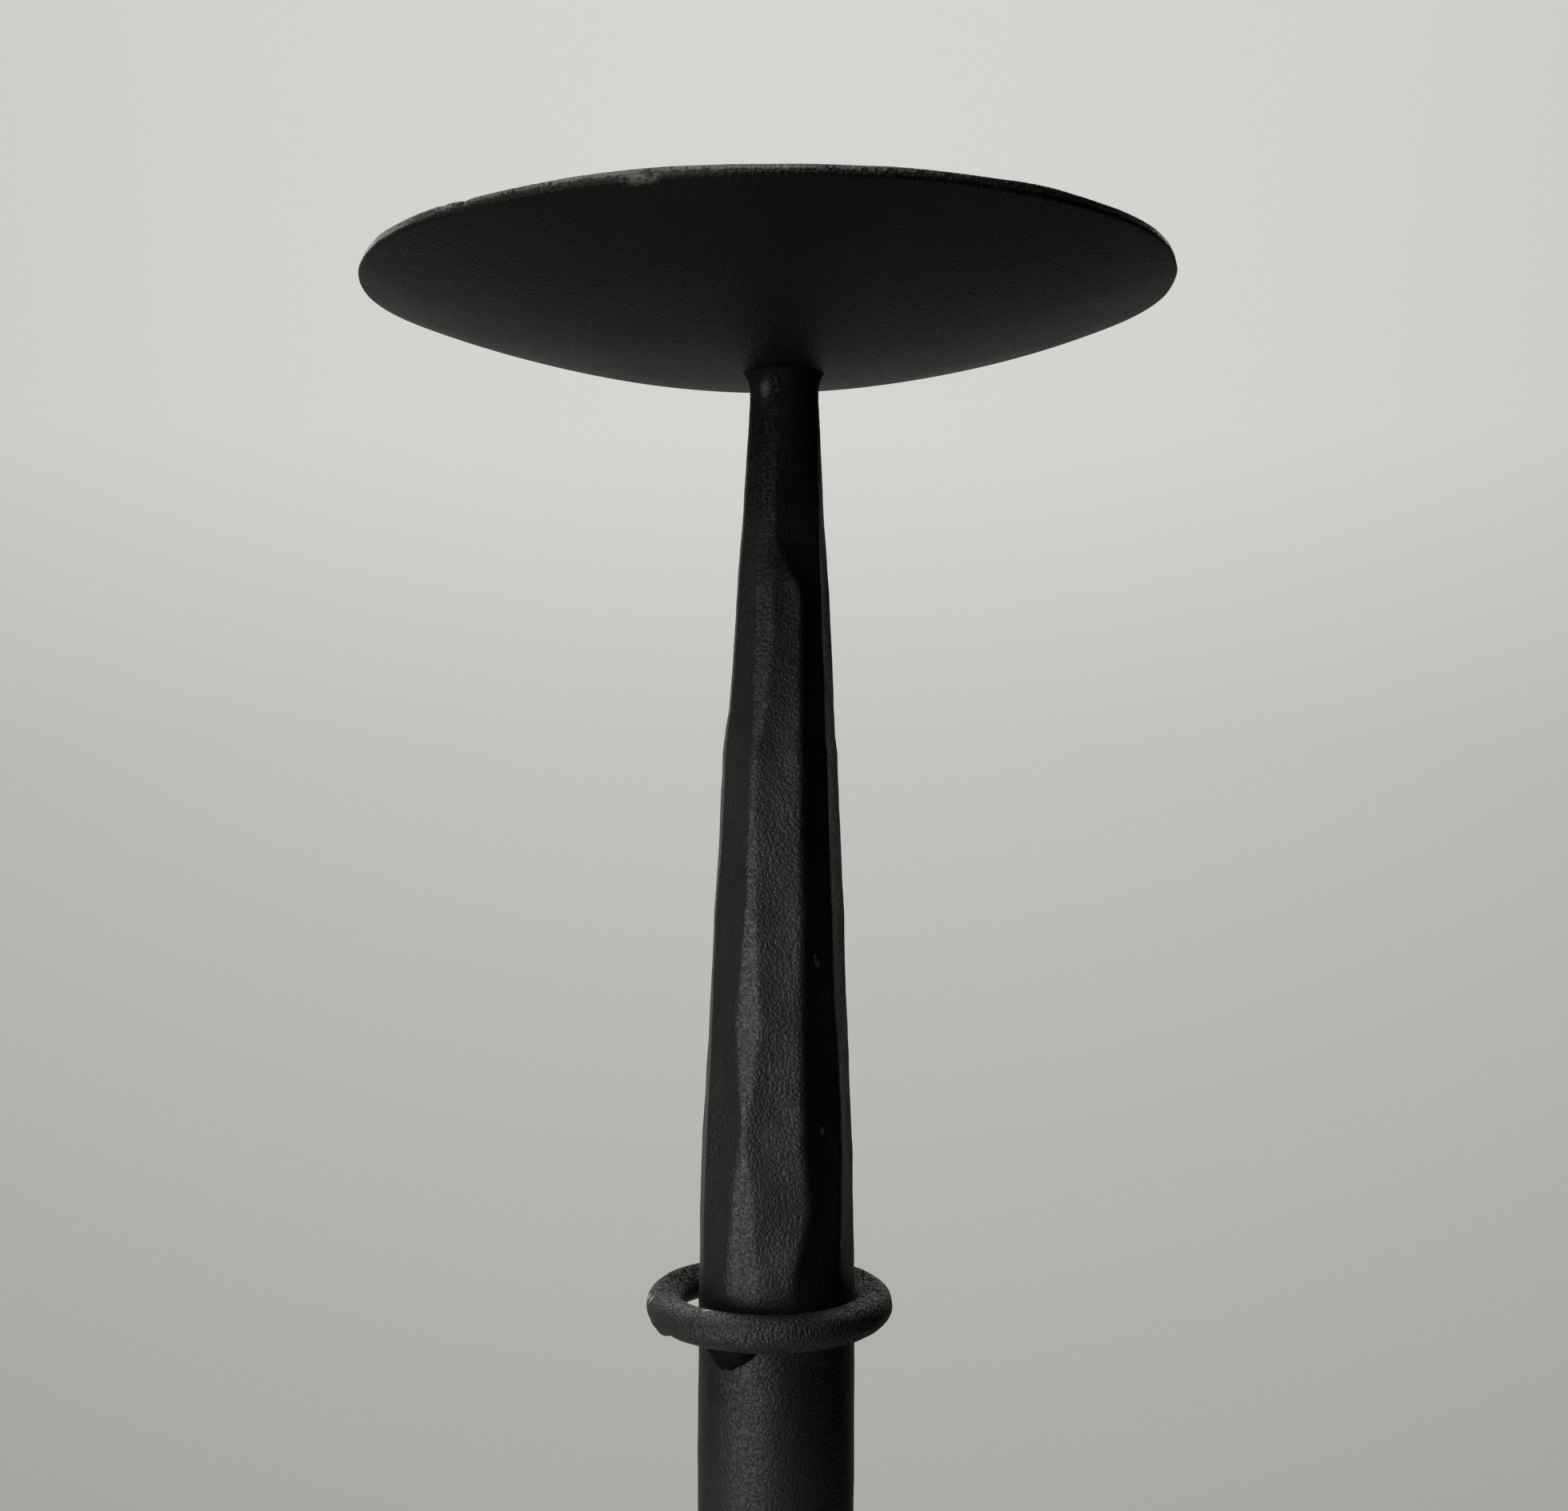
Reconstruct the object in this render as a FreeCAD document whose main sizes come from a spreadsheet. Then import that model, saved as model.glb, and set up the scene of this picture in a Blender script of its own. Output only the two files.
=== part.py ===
import FreeCAD, Part
import math
import os
import Sketcher

# A forged iron pricket candlestick: a round bar drawn out under the hammer to a faceted taper,
# with a dished drip pan welded on its tip, a loose ring round the bar and a dished round foot.
# Frame: +Z up, origin on the floor under the bar's axis, the front toward -Y.
doc = FreeCAD.newDocument("candlestick")

# Driving sizes in millimetres.
SIZES = {
    # drip pan: a disc of sheet beaten to a shallow dish, a little off the bar's axis
    "rim_height": 420.0,
    "pan_diameter": 112.8,
    "pan_depth": 11.1,
    "pan_sheet": 1.8,
    "pan_rim_round": 0.5,
    "pan_shift": -1.3,
    "pan_weld_leg": 1.3,
    "pan_weld_clearance": 0.06,
    # pricket: a spike on a flat seat, with a shank driven down into the stem
    "pricket_length": 22.0,
    "pricket_root_diameter": 7.0,
    "pricket_tip_diameter": 1.0,
    "seat_diameter": 18.0,
    "seat_thickness": 2.6,
    "seat_round": 0.5,
    "shank_diameter": 5.0,
    "shank_length": 14.0,
    # stem: a round bar whose upper end is drawn to a taper that leans a little
    "bar_diameter": 22.0,
    "neck_diameter": 9.6,
    "neck_length": 3.7,
    "taper_length": 120.3,
    "stem_lean": 1.0,
    "tenon_diameter": 14.0,
    "peened_head_diameter": 19.0,
    "peened_head_height": 3.0,
    # loose ring, and the three weld beads on the bar that carry it
    "ring_drop": 6.6,
    "ring_diameter": 29.6,
    "ring_bar_diameter": 5.0,
    "ring_shift": -1.0,
    "rest_width": 6.4,
    "rest_bead_diameter": 3.2,
    "rest_stand": 1.4,
    "rest_clearance": 0.35,
    # foot: a thicker dished disc turned over, riveted on the bar's tenon over a rove
    "foot_diameter": 150.0,
    "foot_depth": 18.0,
    "foot_sheet": 4.0,
    "foot_rim_round": 0.8,
    "foot_ground_off": 1.0,
    "rove_diameter": 28.0,
    "rove_thickness": 3.0,
    # fits
    "hole_clearance": 0.1,
    "overrun": 2.0,
}

# The hammered taper, from the neck down to the bar. Each station gives its share of the taper's
# length, its share of the way from the neck's radius to the bar's, how far its flats are struck
# (0 leaves it round and 1 is a full flat) and how wide the narrow flat on the front left edge is.
STATION_SHARES = (
    (0.00, 0.000, 0.10, 0.15),
    (0.06, 0.080, 0.70, 0.15),
    (0.14, 0.165, 1.00, 0.10),
    (0.21, 0.270, 1.00, 0.10),
    (0.29, 0.345, 1.00, 0.10),
    (0.38, 0.455, 1.00, 0.10),
    (0.41, 0.540, 1.00, 0.15),
    (0.56, 0.670, 1.00, 0.20),
    (0.63, 0.755, 1.00, 0.85),
    (0.71, 0.810, 1.00, 1.00),
    (0.78, 0.875, 0.95, 0.80),
    (0.84, 0.925, 0.85, 0.15),
    (0.90, 0.970, 0.55, 0.90),
    (1.00, 1.000, 0.00, 1.00),
)
# Where the edges between the flats stand round the stem, as shares of a turn from the front.
EDGE_TURN_SHARES = (0.055, 0.148, 0.256, 0.370, 0.478, 0.589, 0.700, 0.806)
# The narrow flat between the front and the left one: its middle and full width, likewise.
NARROW_FLAT_TURN_SHARE = 0.932
NARROW_FLAT_WIDTH_SHARE = 0.048
# How far an edge wanders to and fro from blow to blow, as a share of a turn.
EDGE_WANDER_SHARE = 0.006
# Edges of a flat stand outside the round by these shares of its radius, unstruck and struck.
UNSTRUCK_EDGE_SHARE = 0.085
STRUCK_EDGE_SHARE = 0.015
# Places round the bar of the beads under the ring, as shares of a turn from the front.
REST_TURN_SHARES = (0.922, 0.375, 0.625)

sheet = doc.addObject("Spreadsheet::Sheet", "sizes")
for row, (alias, value) in enumerate(SIZES.items(), start=1):
    sheet.set(f"A{row}", alias)
    sheet.set(f"B{row}", str(value))
    sheet.setAlias(f"B{row}", alias)
doc.recompute()


# Formulas over the sheet, for the sizes that follow from the driving ones.
def ball_radius(disc):
    """Radius of the convex side of a dished disc."""
    return f"(((sizes.{disc}_diameter / 2) ^ 2 + sizes.{disc}_depth ^ 2) / (2 * sizes.{disc}_depth))"


def hollow_radius(disc):
    """Radius of the hollow side of a dished disc."""
    return f"({ball_radius(disc)} - sizes.{disc}_sheet)"


def disc_height(disc):
    """Height of a dished disc from its pole to the far edge of its rim."""
    return f"(sizes.{disc}_depth + sizes.{disc}_sheet * (1 - sizes.{disc}_depth / {ball_radius(disc)}))"


def cone_slope(disc):
    """Radius over height of the cone from the centre of the ball through the disc's rim."""
    return f"(sizes.{disc}_diameter / 2 / ({ball_radius(disc)} - sizes.{disc}_depth))"


PAN_POLE = f"(sizes.rim_height - {disc_height('pan')})"
PAN_CENTRE = f"({PAN_POLE} + {ball_radius('pan')})"
FOOT_POLE = f"({disc_height('foot')} - sizes.foot_ground_off)"
FOOT_CENTRE = f"({FOOT_POLE} - {ball_radius('foot')})"
TAPER_TOP = f"({PAN_POLE} - sizes.neck_length)"
TAPER_FOOT = f"({TAPER_TOP} - sizes.taper_length)"
RING_HEIGHT = f"({TAPER_FOOT} - sizes.ring_drop)"
REST_RADIUS = "(sizes.bar_diameter / 2 + sizes.rest_stand)"
REST_SPACE = "((sizes.ring_bar_diameter + sizes.rest_bead_diameter) / 2 + sizes.rest_clearance)"
SEAT_EDGE = "(sizes.seat_diameter / 2 + abs(sizes.stem_lean - sizes.pan_shift))"
SEAT_HEIGHT = f"({PAN_CENTRE} - sqrt({hollow_radius('pan')} ^ 2 - {SEAT_EDGE} ^ 2))"
ROVE_TOP = f"({FOOT_CENTRE} + sqrt({hollow_radius('foot')} ^ 2 - (sizes.rove_diameter / 2) ^ 2))"
ROVE_UNDER = f"({ROVE_TOP} - sizes.rove_thickness)"
PLACE = {"x": "Placement.Base.x", "y": "Placement.Base.y", "z": "Placement.Base.z"}


def number(formula):
    return float(sheet.evalExpression(formula))


def bound(kind, name, **formulas):
    """A document object whose sizes and place follow formulas over the sheet."""
    thing = doc.addObject(kind, name)
    for key, formula in formulas.items():
        thing.setExpression(PLACE.get(key, key), formula)
    return thing


def cut(name, base, tool):
    result = doc.addObject("Part::Cut", name)
    result.Base = base
    result.Tool = tool
    return result


def common(name, base, tool):
    result = doc.addObject("Part::Common", name)
    result.Base = base
    result.Tool = tool
    return result


def fuse(name, shapes):
    result = doc.addObject("Part::MultiFuse", name)
    result.Shapes = shapes
    return result


def circle_edges(shape, picked):
    """Numbers of the circular edges of a shape that the test picks."""
    return [index for index, edge in enumerate(shape.Edges, start=1)
            if not edge.Degenerated and isinstance(edge.Curve, Part.Circle) and picked(edge.Curve)]


def rounded(name, base, radius_name, picked):
    """A shape with some of its circular edges rounded."""
    doc.recompute()
    radius = number(f"sizes.{radius_name}")
    result = doc.addObject("Part::Fillet", name)
    result.Base = base
    result.Edges = [(index, radius, radius) for index in circle_edges(base.Shape, picked)]
    return result


def turned_body(name, points):
    """A body turned about its Z axis from a closed profile of (radius, height) formulas."""
    body = doc.addObject("PartDesign::Body", name)
    sketch = body.newObject("Sketcher::SketchObject", name + "_profile")
    plane = next(item for item in body.Origin.OriginFeatures if item.Role == "XZ_Plane")
    sketch.AttachmentSupport = [(plane, "")]
    sketch.MapMode = "FlatFace"
    across_axis, up_axis, origin_point = -1, -2, 1
    corners = [FreeCAD.Vector(number(x), number(y), 0) for x, y in points]
    for start, end in zip(corners, corners[1:] + corners[:1]):
        sketch.addGeometry(Part.LineSegment(start, end), False)
    for index, (corner, (x, y)) in enumerate(zip(corners, points)):
        following = (index + 1) % len(points)
        sketch.addConstraint(Sketcher.Constraint("Coincident", index, 2, following, 1))
        for kind, axis, place, formula in (("DistanceX", up_axis, corner.x, x),
                                           ("DistanceY", across_axis, corner.y, y)):
            if formula == "0":
                sketch.addConstraint(Sketcher.Constraint("PointOnObject", index, 1, axis))
            else:
                made = sketch.addConstraint(
                    Sketcher.Constraint(kind, across_axis, origin_point, index, 1, place))
                sketch.setExpression(f"Constraints[{made}]", formula)
    turn = body.newObject("PartDesign::Revolution", name + "_turned")
    turn.Profile = sketch
    turn.ReferenceAxis = (sketch, ["V_Axis"])
    doc.recompute()
    return body, turn


def round_edges(body, feature, radius_name, picked):
    """Rounds some of the circular edges of a body's last feature."""
    fillet = body.newObject("PartDesign::Fillet", feature.Name + "_rounded")
    fillet.Base = (feature, [f"Edge{index}" for index in circle_edges(feature.Shape, picked)])
    fillet.setExpression("Radius", f"sizes.{radius_name}")


def dished_disc(disc, centre, x, points_down):
    """A disc of sheet beaten to part of a ball, with its rim square to the sheet."""
    reach = f"({ball_radius(disc)} + sizes.overrun)"
    width = f"{cone_slope(disc)} * {reach}"
    ball = bound("Part::Sphere", f"{disc}_ball", Radius=ball_radius(disc), x=x, z=centre)
    hollow = bound("Part::Sphere", f"{disc}_hollow", Radius=hollow_radius(disc), x=x, z=centre)
    ends = {"Radius1": width, "Radius2": "0", "z": f"{centre} - {reach}"}
    if points_down is False:
        ends = {"Radius1": "0", "Radius2": width, "z": centre}
    cone = bound("Part::Cone", f"{disc}_cone", Height=reach, x=x, **ends)
    shell = cut(f"{disc}_shell", ball, hollow)
    return ball, common(f"{disc}_dish", shell, cone)


# Drip pan
pan_ball, pan_dish = dished_disc("pan", PAN_CENTRE, "sizes.pan_shift", True)
shank_hole = bound("Part::Cylinder", "shank_hole",
                   Radius="sizes.shank_diameter / 2 + sizes.hole_clearance",
                   Height="sizes.shank_length + sizes.hole_clearance + sizes.overrun",
                   x="sizes.stem_lean", z=f"{SEAT_HEIGHT} - sizes.shank_length - sizes.hole_clearance")
pan_rim = rounded("pan_rim", pan_dish, "pan_rim_round", lambda circle: True)
drip_pan = cut("drip_pan", pan_rim, shank_hole)

# Pricket, built up from the lower end of its shank
seat_top = "sizes.shank_length + sizes.seat_thickness"
pricket, pricket_turned = turned_body("pricket", [
    ("0", "0"),
    ("sizes.shank_diameter / 2", "0"),
    ("sizes.shank_diameter / 2", "sizes.shank_length"),
    ("sizes.seat_diameter / 2", "sizes.shank_length"),
    ("sizes.seat_diameter / 2", seat_top),
    ("sizes.pricket_root_diameter / 2", seat_top),
    ("sizes.pricket_tip_diameter / 2", f"{seat_top} + sizes.pricket_length"),
    ("0", f"{seat_top} + sizes.pricket_length"),
])
round_edges(pricket, pricket_turned, "seat_round",
            lambda circle: circle.Radius > number("sizes.pricket_root_diameter")
            and circle.Center.z > number("sizes.shank_length + sizes.seat_thickness / 2"))
pricket.setExpression(PLACE["x"], "sizes.stem_lean")
pricket.setExpression(PLACE["z"], f"{SEAT_HEIGHT} - sizes.shank_length")


# Stem
def flats_outline(order, centre, radius, struck, narrow):
    """The many-sided outline of one station, whose edges wander from one blow to the next."""
    spare = UNSTRUCK_EDGE_SHARE + struck * (STRUCK_EDGE_SHARE - UNSTRUCK_EDGE_SHARE)
    reach = radius * (1 + spare)
    turns = [turn + EDGE_WANDER_SHARE * math.sin(order * order + edge)
             for edge, turn in enumerate(EDGE_TURN_SHARES)]
    for side in (-narrow / 2, narrow / 2):
        turns.append(NARROW_FLAT_TURN_SHARE + NARROW_FLAT_WIDTH_SHARE * side)
    corners = [centre + FreeCAD.Vector(math.sin(turn * math.tau), -math.cos(turn * math.tau), 0) * reach
               for turn in turns]
    return Part.makePolygon(corners + corners[:1])


def hammered_taper():
    """Neck and taper as a round bar, less what the hammer has flattened."""
    neck_top = (*STATION_SHARES[0], f"{PAN_POLE} + sizes.overrun")
    stations = [neck_top] + [(*station, f"{TAPER_TOP} - {station[0]} * sizes.taper_length")
                             for station in STATION_SHARES]
    rounds = []
    outlines = []
    for order, (down, growth, struck, narrow, height) in enumerate(stations):
        across = f"sizes.stem_lean * (1 - {down})"
        radius = f"(sizes.neck_diameter + {growth} * (sizes.bar_diameter - sizes.neck_diameter)) / 2"
        rounds.append(bound("Part::Circle", f"taper_round_{order}", Radius=radius, x=across, z=height))
        centre = FreeCAD.Vector(number(across), 0, number(height))
        outlines.append(flats_outline(order, centre, number(radius), struck, narrow))
    bar = doc.addObject("Part::Loft", "taper_round")
    bar.Sections = rounds
    bar.Solid = True
    bar.Ruled = True
    flats = doc.addObject("Part::Feature", "taper_flats")
    flats.Shape = Part.makeLoft(outlines, True, True)
    return common("taper", bar, flats)


shaft = bound("Part::Cylinder", "shaft", Radius="sizes.bar_diameter / 2",
              Height=f"{TAPER_FOOT} - {FOOT_POLE} + sizes.overrun", z=f"{FOOT_POLE} - sizes.overrun")
foot_ball, foot_dish = dished_disc("foot", FOOT_CENTRE, "0", False)
tenon = bound("Part::Cylinder", "tenon", Radius="sizes.tenon_diameter / 2",
              Height=f"{FOOT_POLE} + sizes.overrun - {ROVE_UNDER}", z=ROVE_UNDER)
peened_head = bound("Part::Cone", "peened_head", Radius1="sizes.tenon_diameter / 2",
                    Radius2="sizes.peened_head_diameter / 2", Height="sizes.peened_head_height",
                    z=f"{ROVE_UNDER} - sizes.peened_head_height")
bar = fuse("bar", [shaft, hammered_taper()])
bar_under_pan = cut("bar_under_pan", bar, pan_ball)
bar_on_foot = cut("bar_on_foot", bar_under_pan, foot_ball)
bar_with_tenon = fuse("bar_with_tenon", [bar_on_foot, tenon, peened_head])
stem = cut("stem", bar_with_tenon, shank_hole)

# Weld under the pan: a hollow fillet round the neck
weld_radius = "sizes.neck_diameter / 2 + sizes.pan_weld_leg"
weld_blank = bound("Part::Cylinder", "weld_blank", Radius=weld_radius,
                   Height="sizes.pan_weld_leg + sizes.overrun",
                   x="sizes.stem_lean", z=f"{PAN_POLE} - sizes.pan_weld_leg")
weld_hollow = bound("Part::Torus", "weld_hollow", Radius1=weld_radius, Radius2="sizes.pan_weld_leg",
                    x="sizes.stem_lean", z=f"{PAN_POLE} - sizes.pan_weld_leg")
weld_fillet = cut("weld_fillet", weld_blank, weld_hollow)
weld_under_pan = cut("weld_under_pan", weld_fillet, pan_ball)
neck = bound("Part::Cylinder", "neck", Radius="sizes.neck_diameter / 2 + sizes.pan_weld_clearance",
             Height="sizes.pan_weld_leg + sizes.overrun",
             x="sizes.stem_lean", z=f"{PAN_POLE} - sizes.pan_weld_leg")
pan_weld = cut("pan_weld", weld_under_pan, neck)

# Loose ring and the beads that it lies on
ring = bound("Part::Torus", "ring", Radius1="sizes.ring_diameter / 2",
             Radius2="sizes.ring_bar_diameter / 2", x="sizes.ring_shift", z=RING_HEIGHT)
beads = []
for turn in REST_TURN_SHARES:
    # The ring lies off centre, so it stands out by another amount over each bead.
    ring_reach = f"sizes.ring_diameter / 2 + sizes.ring_shift * {math.sin(turn * math.tau)}"
    stand_out = f"({ring_reach} - {REST_RADIUS})"
    bead = bound("Part::Torus", f"bead_{len(beads)}", Radius1=REST_RADIUS,
                 Radius2="sizes.rest_bead_diameter / 2",
                 Angle3=f"sizes.rest_width / {REST_RADIUS} * 180 / pi",
                 z=f"{RING_HEIGHT} - sqrt({REST_SPACE} ^ 2 - {stand_out} ^ 2)")
    half_sweep = math.degrees(number(f"sizes.rest_width / {REST_RADIUS}")) / 2
    first_end = math.degrees(turn * math.tau) - 90 - half_sweep
    bead.Placement.Rotation = FreeCAD.Rotation(FreeCAD.Vector(0, 0, 1), first_end)
    beads.append(bead)
ring_rests = cut("ring_rests", fuse("beads", beads), shaft)

# Foot and its rove
floor_slab = bound("Part::Cylinder", "floor_slab", Radius="sizes.foot_diameter",
                   Height="sizes.foot_ground_off + sizes.overrun",
                   z="-sizes.foot_ground_off - sizes.overrun")
tenon_hole = bound("Part::Cylinder", "tenon_hole", Radius="sizes.tenon_diameter / 2 + sizes.hole_clearance",
                   Height=FOOT_POLE)
foot_ground = cut("foot_ground", foot_dish, floor_slab)
outer_edge = number("sizes.foot_diameter / 2 - sizes.foot_rim_round / 2")
foot_rim = rounded("foot_rim", foot_ground, "foot_rim_round", lambda circle: circle.Radius > outer_edge)
foot = cut("foot", foot_rim, tenon_hole)
rove_hole = "sizes.tenon_diameter / 2 + sizes.hole_clearance"
rove, _ = turned_body("rove", [
    (rove_hole, "0"),
    ("sizes.rove_diameter / 2", "0"),
    ("sizes.rove_diameter / 2", "sizes.rove_thickness"),
    (rove_hole, "sizes.rove_thickness"),
])
rove.setExpression(PLACE["z"], ROVE_UNDER)

NODES = {
    "drip_pan": drip_pan,
    "pan_weld": pan_weld,
    "pricket": pricket,
    "stem": stem,
    "ring": ring,
    "ring_rests": ring_rests,
    "foot": foot,
    "foot_rove": rove,
}
doc.recompute()
for item in doc.Objects:
    if {"Invalid", "Error"} & set(item.State):
        raise RuntimeError(f"{item.Name} did not build: {item.State}")
for label, node in NODES.items():
    node.Label = label
    if node.Shape.isNull() or not node.Shape.isValid():
        raise RuntimeError(f"{label} has no valid shape")

os.makedirs("parts", exist_ok=True)
for label, node in NODES.items():
    node.Shape.exportStep(f"parts/{label}.step")
    box = node.Shape.BoundBox
    print(f"{label}: {len(node.Shape.Solids)} solid, {node.Shape.Volume:.1f} mm3,"
          f" z {box.ZMin:.2f} to {box.ZMax:.2f}")
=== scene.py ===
import math

import bmesh
import bpy
import numpy as np
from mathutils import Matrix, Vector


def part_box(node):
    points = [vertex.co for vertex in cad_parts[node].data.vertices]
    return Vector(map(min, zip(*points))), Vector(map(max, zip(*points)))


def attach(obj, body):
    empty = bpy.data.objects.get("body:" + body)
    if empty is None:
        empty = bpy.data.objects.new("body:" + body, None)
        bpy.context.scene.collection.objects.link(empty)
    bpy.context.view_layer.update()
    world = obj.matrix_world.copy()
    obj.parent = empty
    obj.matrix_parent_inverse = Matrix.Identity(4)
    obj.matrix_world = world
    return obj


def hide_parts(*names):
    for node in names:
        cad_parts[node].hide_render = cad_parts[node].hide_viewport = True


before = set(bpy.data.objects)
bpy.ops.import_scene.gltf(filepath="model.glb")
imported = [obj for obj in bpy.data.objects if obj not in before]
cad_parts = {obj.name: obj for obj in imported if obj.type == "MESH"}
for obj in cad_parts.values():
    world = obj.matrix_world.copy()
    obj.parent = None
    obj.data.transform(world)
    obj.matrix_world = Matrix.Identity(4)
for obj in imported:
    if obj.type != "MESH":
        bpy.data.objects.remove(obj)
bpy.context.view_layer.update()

# A forged iron candlestick. Each CAD node is replaced by a piece with the marks of hammer, weld and brush.
# Lengths are in millimetres and angles round the stem in degrees from the front, toward the right.
MM = 0.001


# Places from the CAD
def node_box(name):
    """Lowest and highest corner of a CAD node, in millimetres."""
    return [np.array(corner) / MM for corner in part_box(name)]


def ball_radius(radius, depth):
    """Radius of the ball that a dished disc is part of."""
    return (radius ** 2 + depth ** 2) / (2 * depth)


pan_low, pan_high = node_box("drip_pan")
ring_low, ring_high = node_box("ring")
rove_low, rove_high = node_box("foot_rove")
spike_low, spike_high = node_box("pricket")

# Drip pan: part of a ball, a little off the bar's axis and tilted up to the right
PAN_RADIUS = 56.4
PAN_DEPTH = 11.1
PAN_SHEET = 1.8
PAN_TILT = 0.45
PAN_BALL = ball_radius(PAN_RADIUS, PAN_DEPTH)
PAN_X = (pan_low[0] + pan_high[0]) / 2
PAN_POLE = pan_low[2]
# Radius at which the unevenness round its rim is read
PAN_GUIDE = 56.0

# Rove and foot: the hollow side of the foot lies on the rove's upper edge
ROVE_RADIUS = 14.0
ROVE_HOLE = 7.15
ROVE_UNDER = rove_low[2]
ROVE_TOP = rove_high[2]
FOOT_RADIUS = 75.0
FOOT_DEPTH = 18.0
FOOT_SHEET = 4.0
FOOT_BALL = ball_radius(FOOT_RADIUS, FOOT_DEPTH)
FOOT_CENTRE = ROVE_TOP - math.sqrt((FOOT_BALL - FOOT_SHEET) ** 2 - ROVE_RADIUS ** 2)

# Points along the skin of a sheet disc: convex side, each corner of its rim, rim, hollow side
OUTER_ROWS = 74
CORNER_ROWS = 6
RIM_ROWS = 5
INNER_ROWS = 60
DISC_STEPS = 360

# Stem: the length of its neck and taper, how far its neck stands to the right, and where it meets the foot
BAR_RADIUS = 11.0
TAPER_LENGTH = 124.0
STEM_LEAN = 1.0
STEM_FOOT = FOOT_CENTRE + math.sqrt(FOOT_BALL ** 2 - BAR_RADIUS ** 2)
# Points round it, the height of a row on the taper and on the plain bar, and where the plain rows start
STEM_STEPS = 256
TAPER_ROW = 0.42
PLAIN_ROW = 2.0
PLAIN_FROM = 268.0
# Rows at its top that bend to follow the pan
TOP_ROWS = 8
# How far the middle of the stem stands to the right, at shares down the taper
STEM_BOW = (
    (0.0, 0.9), (0.2, 0.8), (0.35, 0.64), (0.42, 0.4), (0.58, 0.22), (0.8, 0.0), (0.95, -0.08),
    (1.05, 0.0),
)
# Half width of the stem at shares down the taper
STEM_RADII = (
    (0.00, 4.8), (0.03, 4.8), (0.16, 5.7), (0.23, 6.35), (0.375, 7.25), (0.41, 7.6), (0.43, 8.0),
    (0.54, 8.6), (0.61, 9.15), (0.70, 9.45), (0.79, 10.0), (0.88, 10.6), (1.04, BAR_RADIUS),
)
# The edges between the hammered flats: angle round the stem at shares down the taper
STEM_EDGES = (
    ((0.0, -103), (0.3, -100), (0.6, -104), (1.0, -102)),
    ((0.0, -66), (0.25, -70), (0.45, -66), (0.65, -69), (0.85, -64), (1.0, -66)),
    # The narrow bright flat on the front left, which closes to an edge and opens again
    ((0.0, -28), (0.1, -30), (0.15, -35), (0.3, -33), (0.41, -28), (0.58, -28), (0.71, -35),
     (0.83, -25), (0.9, -32), (1.0, -38)),
    ((0.0, -27), (0.09, -17), (0.2, -14), (0.29, -11), (0.35, -17), (0.41, -23), (0.58, -20),
     (0.71, -15), (0.83, -22.5), (0.9, -18), (0.96, -17.5), (1.0, -13)),
    # The right edge of the front flat, which starts as a tip under the neck
    ((0.0, -14), (0.175, -13), (0.235, 21), (0.85, 20), (0.91, 24), (0.93, 22), (0.955, 17),
     (1.0, 10)),
    ((0.0, 62), (0.2, 52), (0.6, 52), (0.7, 53), (0.8, 58), (0.92, 54), (1.0, 50)),
    ((0.0, 95), (0.25, 91), (0.5, 94), (0.75, 91), (1.0, 93)),
    ((0.0, 130), (0.3, 135), (0.6, 131), (1.0, 134)),
    ((0.0, 168), (0.3, 174), (0.6, 170), (1.0, 173)),
    ((0.0, 214), (0.3, 209), (0.6, 213), (1.0, 211)),
)
# How far each edge stands out, as a share of the half width
EDGE_STAND = (1.0, 1.0, 1.0, 0.98, 1.04, 1.0, 1.0, 1.0, 1.0, 1.0)
# How far the edges stand out past the outline before they are rounded off, and start below it
EDGE_REACH = 1.03
EDGE_DROP = 0.015
# The least angle between two edges, and the angle beside an edge over which its paint is worn
EDGE_GAP = 0.4
EDGE_WEAR = 2.2
# How wide the rounding of the edges is, in points round the stem, and how far it is averaged
EDGE_ROUND = 1.7
ROUND_REACH = 6
# How flat the flats are struck, at shares down the taper
STRUCK = (
    (0.00, 0.15), (0.08, 0.3), (0.14, 0.55), (0.2, 0.85), (0.25, 1.0), (0.94, 1.0), (0.98, 0.85),
    (1.01, 0.5), (1.05, 0.0),
)
# Hammer blows along a flat: length and depth, how they are put off from flat to flat, and the width in
# degrees below which a flat takes a shallower dent
BLOW_LENGTH = 24.0
BLOW_DEPTH = 0.13
BLOW_OFFSET = 0.37
BLOW_WIDTH = 30.0
# How much of its sheen the paint has lost: at the neck partly scorched by the weld and partly painted
# shade under the pan, rubbed on the round bar
STEM_DULL_AND_SHADE = (
    (0.0, 0.8), (0.07, 0.8), (0.16, 0.6), (0.22, 0.43), (0.4, 0.18), (0.5, 0.0), (0.9, 0.0),
    (1.05, 0.12),
)
# Flecks of bare iron on the dark right flats: angle, share down the taper
STEM_FLECKS = ((33, 0.655), (36, 0.662), (38, 0.845))

# Ring, and points along and round its wire
RING_RADIUS = 14.8
RING_WIRE = 2.5
RING_X = (ring_low[0] + ring_high[0]) / 2
RING_Z = (ring_low[2] + ring_high[2]) / 2
RING_STEPS = 200
WIRE_STEPS = 40

# The beads under the ring: angle, and how far the middle of each is under the ring's
RESTS = ((-31.5, 3.404), (135.0, 4.114), (225.0, 3.184))
REST_RADIUS = 11.9
REST_WIRE = 1.7
REST_HALF_ANGLE = 17.5
REST_STEPS = 30

# Weld under the pan: its radius at the neck, and that of its back, which is inside the neck
WELD_ROOT = 4.75
WELD_BACK = 4.0
WELD_ROWS = 14

# Spike: its length above its seat
SPIKE_LENGTH = 22.0
SEAT_TOP = spike_high[2] - SPIKE_LENGTH
SPIKE_ROWS = 26
SHANK_ROWS = 2


# Shaping
def ease(low, high, value):
    """0 below low, 1 above high and a smooth rise between."""
    share = np.clip((value - low) / (high - low), 0, 1)
    return share * share * (3 - 2 * share)


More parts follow.
